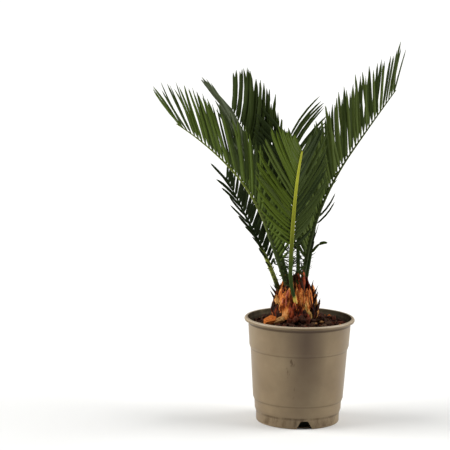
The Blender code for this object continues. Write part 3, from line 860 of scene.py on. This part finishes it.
# Section of a leaflet, and how its width swells and narrows from foot to tip.
LEAFLET_SECTION = ((-1.0, 0.0), (-0.5, 0.42), (0.5, 0.42), (1.0, 0.0), (0.0, -0.38))
LEAFLET_STATIONS = (
    (0.0, 0.40), (0.03, 0.42), (0.075, 0.76), (0.16, 0.97), (0.40, 1.0), (0.66, 0.93),
    (0.88, 0.66), (1.0, 0.10),
)
LEAFLET_FOOT = 0.04
# How far a leaflet strays from its row: angles in degrees, shares of length and width, and bow.
SPREAD_SLIP = 1.6
FOLD_SLIP = 3.0
TWIST_SLIP = 6
LENGTH_SLIP = (0.93, 1.03)
WIDTH_SLIP = (0.86, 1.06)
BOW_SLIP = 0.012
DROOP = 0.015
# Where leaflets and spines leave the rib, as shares of its half breadth.
LEAFLET_SEAT_OUT = 0.6
LEAFLET_SEAT_UP = 0.3
SPINE_SEAT_OUT = 0.7
# Plain greens of the leaflets, and a dried spine tone: name, colour, roughness and strength of the
# gloss. Upper faces are darker than under faces, and each row's green is set darker where it sits
# in shade and brighter where light falls on it, which is painted shade and light.
LEAF_TONES = (
    ("leaf_black", "#273215", 0.60, 0.08),
    ("leaf_dark", "#313D16", 0.60, 0.08),
    ("leaf_moss", "#36421A", 0.60, 0.10),
    ("leaf_olive", "#455220", 0.60, 0.12),
    ("leaf_green", "#49591E", 0.60, 0.12),
    ("leaf_bright", "#455412", 0.60, 0.12),
    ("leaf_grey", "#525A40", 0.50, 0.15),
    ("dried_spine", "#33271A", 0.80, 0.08),
)
TONE_SLIPS = 0.26
SLIP_STEPS = 2
STAGGER = (0.25, 0.25, 0.06, 0.06, 0.06, 0.06)
SPINES_A_SIDE = 9
SPINE_WIDTH = 0.0024
SPINE_TONES = ("leaf_black", "dried_spine", "dried_spine")
STUNTED_ZONE = 0.14
STUNTED_WIDTH = 0.0036
STUNTED_TONES = ("leaf_black", "leaf_black", "leaf_dark")


def bearings(frond, u):
    """Direction of the rib at a share of its length, and the way its upper face looks there."""
    lean = math.radians(between(frond.leans, u))
    turn = math.radians(frond.azimuth + frond.drift * u)
    forward = (math.sin(lean) * math.cos(turn), math.sin(lean) * math.sin(turn), math.cos(lean))
    up = (-math.cos(lean) * math.cos(turn), -math.cos(lean) * math.sin(turn), math.sin(lean))
    return Vector(forward), Vector(up)


def rib_line(frond):
    """Evenly spaced points along the rib, from foot to tip."""
    step = frond.length / LINE_STEPS
    points = [Vector(frond.foot)]
    for i in range(LINE_STEPS):
        points.append(points[-1] + bearings(frond, (i + 0.5) / LINE_STEPS)[0] * step)
    shift, gone_at = frond.shift
    for i, point in enumerate(points):
        left = max(0.0, 1.0 - i / LINE_STEPS / gone_at)
        point.x += shift * left * left
    return points


def rib_radius(frond, u):
    """Half the rib's breadth at a share of its length."""
    return between(RIB_RADII, u) * between(frond.girth, u)


def leaf_skin(name, code, roughness, sheen):
    """Leathery leaf skin: one green, with fine veins along it that break up its gloss."""
    made, tree, shader, place = new_material(
        name, Base_Color=linear(code), IOR=1.42, Specular_IOR_Level=sheen,
    )
    veins = speckle(tree, place, "Object", marks=1.9, detail=3.0)
    matt = (roughness - 0.1, roughness + 0.1)
    rescaled(tree, veins, "Fac", (0.3, 0.7), matt, [(0, shader, "Roughness")])
    relief(tree, veins, "Fac", shader, strength=0.25, distance=0.0004)
    return made


def leaflet_pattern():
    """A leaflet of unit length along Z and unit half width: domed above, ridged below, spiny tip."""
    bm = bmesh.new()
    poses = [
        Matrix.Translation((0.0, 0.0, height)) @ Matrix.Diagonal((width, width, 1.0, 1.0))
        for height, width in LEAFLET_STATIONS
    ]
    sweep(bm, poses, len(LEAFLET_SECTION), LEAFLET_SECTION)
    bmesh.ops.recalc_face_normals(bm, faces=bm.faces)
    for face in bm.faces:
        face.smooth = True
        face.material_index = 0 if face.normal.y > 0.05 else 1
        if face.calc_center_median().z < LEAFLET_FOOT:
            face.material_index = 2
    mesh = bpy.data.meshes.new("leaflet_pattern")
    bm.to_mesh(mesh)
    bm.free()
    return mesh


def add_leaflet(bm, pattern, base, along, across, length, width, bow, tones):
    """A copy of the pattern laid from its base along a direction, and bowed between its ends."""
    first = len(bm.verts)
    first_face = len(bm.faces)
    bm.from_mesh(pattern)
    bm.verts.ensure_lookup_table()
    bm.faces.ensure_lookup_table()
    across = (across - along * across.dot(along)).normalized()
    face_up = along.cross(across).normalized()
    thick = LEAFLET_THICKNESS / 2 * min(1.0, width / LEAFLET_WIDTH)
    for vert in bm.verts[first:]:
        x, y, z = vert.co
        vert.co = (
            base + along * (z * length) + bow * (4 * z * (1 - z) * length)
            + across * (x * width / 2) + face_up * (y * thick)
        )
    for face in bm.faces[first_face:]:
        face.material_index = tones[face.material_index]


leaf_skins = [leaf_skin(*tone) for tone in LEAF_TONES]
tone_index = {tone[0]: i for i, tone in enumerate(LEAF_TONES)}
pattern = leaflet_pattern()
spine_bm = bmesh.new()
for number, frond in enumerate(FRONDS):
    dice = random.Random(100 + number)
    line = rib_line(frond)
    leaf_bm = bmesh.new()
    count = round((1 - frond.bare) * frond.length / LEAFLET_PITCH)
    for side, row in ((-1, frond.left), (1, frond.right)):
        for i in range(0, count, row.stride):
            share = (i + 0.5 + between(STAGGER, i / count) * side) / count
            u = frond.bare + (1 - frond.bare) * share
            spread = math.radians(between(row.spreads, share) + dice.gauss(0, SPREAD_SLIP))
            fold = math.radians(between(row.folds, share) + dice.gauss(0, FOLD_SLIP))
            forward, up = bearings(frond, u)
            out = forward.cross(up) * side
            outward = out * math.cos(fold) + up * math.sin(fold)
            along = forward * math.cos(spread) + outward * math.sin(spread)
            normal = (up * math.cos(fold) - out * math.sin(fold)).normalized()
            twist = math.radians(between(row.twist, share) + dice.gauss(0, TWIST_SLIP)) * side
            across = Matrix.Rotation(twist, 3, along) @ normal.cross(along)
            length = between(row.lengths, share) / 1000 * dice.uniform(*LENGTH_SLIP)
            girth = rib_radius(frond, u)
            base = between(line, u) + outward * girth * LEAFLET_SEAT_OUT + up * girth * LEAFLET_SEAT_UP
            ahead = (forward - along * forward.dot(along)).normalized()
            bow = ahead * -(row.curve + dice.gauss(0, BOW_SLIP)) - normal * dice.gauss(DROOP, BOW_SLIP)
            width = LEAFLET_WIDTH * between(row.breadth, share) * min(1.0, 0.7 + length * 4)
            width *= dice.uniform(*WIDTH_SLIP)
            tones = [tone_index[row.upper], tone_index[row.under], tone_index[frond.feet]]
            if dice.random() < TONE_SLIPS and tones[1] < tone_index["leaf_grey"]:
                tones[1] = max(0, tones[1] - SLIP_STEPS)
            add_leaflet(leaf_bm, pattern, base, along, across, length, width, bow, tones)
    add_piece(f"{frond.name}_leaflets", leaf_bm, leaf_skins, [frond.name])

    for side in (-1, 1):
        for i in range(SPINES_A_SIDE):
            u = 0.03 + (frond.bare - 0.01) * (i + dice.uniform(0.1, 0.9)) / SPINES_A_SIDE
            forward, up = bearings(frond, u)
            out = forward.cross(up) * side
            along = (out + forward * dice.uniform(-0.2, 0.9) + up * dice.uniform(-0.2, 0.5)).normalized()
            length = (0.0025 + 0.0045 * (u / frond.bare) ** 1.5) * dice.uniform(0.6, 1.3)
            base = between(line, u) + out * rib_radius(frond, u) * SPINE_SEAT_OUT
            bow = Vector((dice.gauss(0, 0.08), dice.gauss(0, 0.08), dice.gauss(-0.06, 0.08)))
            tones = [tone_index[dice.choice(SPINE_TONES)]] * 3
            add_leaflet(spine_bm, pattern, base, along, up, length, SPINE_WIDTH, bow, tones)

        for i in range(frond.stunted):
            u = frond.bare + STUNTED_ZONE * ((i + dice.random()) / frond.stunted - 0.9)
            forward, up = bearings(frond, u)
            out = forward.cross(up) * side
            along = (out + forward * dice.uniform(-0.5, 0.8) + up * dice.uniform(0.1, 1.2)).normalized()
            base = between(line, u) + out * rib_radius(frond, u) * SPINE_SEAT_OUT
            bow = Vector((dice.gauss(0, 0.18), dice.gauss(0, 0.18), dice.gauss(-0.10, 0.18)))
            tones = [tone_index[dice.choice(STUNTED_TONES)]] * 3
            length = dice.uniform(0.010, 0.020)
            add_leaflet(spine_bm, pattern, base, along, up, length, STUNTED_WIDTH, bow, tones)

    # Rib skin is waxy and green, brown and corky at some feet, and changes tone as it climbs.
    rib_skin, tree, shader, place = new_material(
        f"{frond.name}_rib_skin", Roughness=0.6, IOR=1.42, Specular_IOR_Level=0.10,
    )
    split = node(tree, "SeparateXYZ", [(place, "Object", "Vector")])
    climb = rescaled(tree, split, "Z", (line[0].z, line[-1].z), (0.0, 1.0))
    mottle = speckle(tree, place, "Object", marks=3.8, detail=4.0)
    wander = maths(tree, "MULTIPLY_ADD", (mottle, "Fac"), 0.08, (climb, 0))
    level = maths(tree, "SUBTRACT", (wander, 0), 0.04)
    stops = list(zip(frond.rib_places, frond.rib_tones))
    ramp(tree, level, 0, stops, [("Color", shader, "Base Color")])
    relief(tree, mottle, "Fac", shader, strength=0.3, distance=0.0005)
    poses = []
    for i in range(RIB_STATIONS + 1):
        u = i / RIB_STATIONS
        forward, up = bearings(frond, u)
        radius = rib_radius(frond, u)
        start = between(line, u) if i else line[0] - forward * RIB_ROOT
        turn = Matrix((forward.cross(up), up, forward)).transposed().to_4x4()
        girth = Matrix.Diagonal((radius, radius * RIB_FLATNESS, 1.0, 1.0))
        poses.append(Matrix.Translation(start) @ turn @ girth)
    rib_bm = bmesh.new()
    sweep(rib_bm, poses, RIB_SIDES)
    bmesh.ops.recalc_face_normals(rib_bm, faces=rib_bm.faces)
    add_piece(f"{frond.name}_rib", rib_bm, [rib_skin], [frond.name], smooth_angle=50)


# Strays: four small leaflets that stand away from the rest on the right, one of them bent over.
# They grow from the petioles as the spines do, and are one piece with them.
# Each has a start, an end, a width and a bow.
STRAY_LEAFLETS = (
    ((0.0205, 0.0260, 0.2680), (0.0440, 0.0240, 0.2990), 0.0026, -0.06),
    ((0.0215, 0.0270, 0.2760), (0.0445, 0.0220, 0.3110), 0.0028, -0.06),
    ((0.0150, -0.0060, 0.2335), (0.0252, -0.0085, 0.2459), 0.0038, 0.05),
    ((0.0240, -0.0085, 0.2448), (0.0352, -0.0100, 0.2474), 0.0044, 0.10),
)
for start, end, width, bow in STRAY_LEAFLETS:
    reach = Vector(end) - Vector(start)
    along = reach.normalized()
    side = Vector((0.0, 1.0, 0.0))
    lift = along.cross(side).normalized()
    across = lift + side * 0.4
    tones = [tone_index["leaf_dark"]] * 3
    add_leaflet(spine_bm, pattern, Vector(start), along, across, reach.length, width, lift * bow, tones)
add_piece("petiole_spines", spine_bm, leaf_skins, [])
bpy.data.meshes.remove(pattern)


# Photographer's table: a pale, matt floor under soft light from both sides and above, and the
# camera two and a half metres off, a little above the plant and looking down on it.
CAMERA_DISTANCE = 2.50
CAMERA_HEIGHT = 0.6366
CAMERA_YAW = 2.376
CAMERA_PITCH = 8.404
CAMERA_ROLL = 0.977
FOCAL_PIXELS = 1868.6
PICTURE_PIXELS = 450
SENSOR_WIDTH = 36.0
FLOOR_REACH = 150.0
DIM_SKY = 0.05
# Lights: name, strength, and azimuth, elevation and softness in degrees.
SOFT_LIGHTS = (
    ("left_light", 3.2, 187, 30, 50),
    ("right_light", 2.9, 6, 30, 50),
    ("top_light", 0.8, 90, 65, 60),
)

camera = bpy.data.objects.new("camera", bpy.data.cameras.new("camera"))
bpy.context.scene.collection.objects.link(camera)
bpy.context.scene.camera = camera
camera.data.sensor_width = SENSOR_WIDTH
camera.data.lens = SENSOR_WIDTH * FOCAL_PIXELS / PICTURE_PIXELS
camera.data.clip_end = 500.0
camera.matrix_world = (
    Matrix.Translation((0.0, -CAMERA_DISTANCE, CAMERA_HEIGHT))
    @ Matrix.Rotation(math.radians(CAMERA_YAW), 4, "Z")
    @ Matrix.Rotation(math.radians(90 - CAMERA_PITCH), 4, "X")
    @ Matrix.Rotation(math.radians(CAMERA_ROLL), 4, "Z")
)

# Matt paper has no gloss, and spreads the light softly back under the leaves.
paper = new_material("matt_white_paper", Base_Color=linear("#F4F4F2"), Roughness=0.9)[0]
floor_bm = bmesh.new()
bmesh.ops.create_grid(floor_bm, x_segments=1, y_segments=1, size=FLOOR_REACH)
floor_mesh = bpy.data.meshes.new("floor")
floor_bm.to_mesh(floor_mesh)
floor_bm.free()
floor_mesh.materials.append(paper)
floor = bpy.data.objects.new("floor", floor_mesh)
bpy.context.scene.collection.objects.link(floor)

for name, strength, azimuth, elevation, softness in SOFT_LIGHTS:
    light = bpy.data.lights.new(name, "SUN")
    light.energy = strength
    light.angle = math.radians(softness)
    lamp = bpy.data.objects.new(name, light)
    bpy.context.scene.collection.objects.link(lamp)
    lamp.rotation_euler = (math.radians(90 - elevation), 0.0, math.radians(azimuth + 90))

world = bpy.data.worlds.new("white_surround")
bpy.context.scene.world = world
world.use_nodes = True
sky = world.node_tree.nodes["Background"]
sky.inputs["Color"].default_value = (1.0, 1.0, 1.0, 1.0)
seen = node(world.node_tree, "LightPath")
rescaled(world.node_tree, seen, "Is Camera Ray", (0.0, 1.0), (DIM_SKY, 1.0), [(0, sky, "Strength")])
bpy.context.scene.view_settings.view_transform = "Standard"
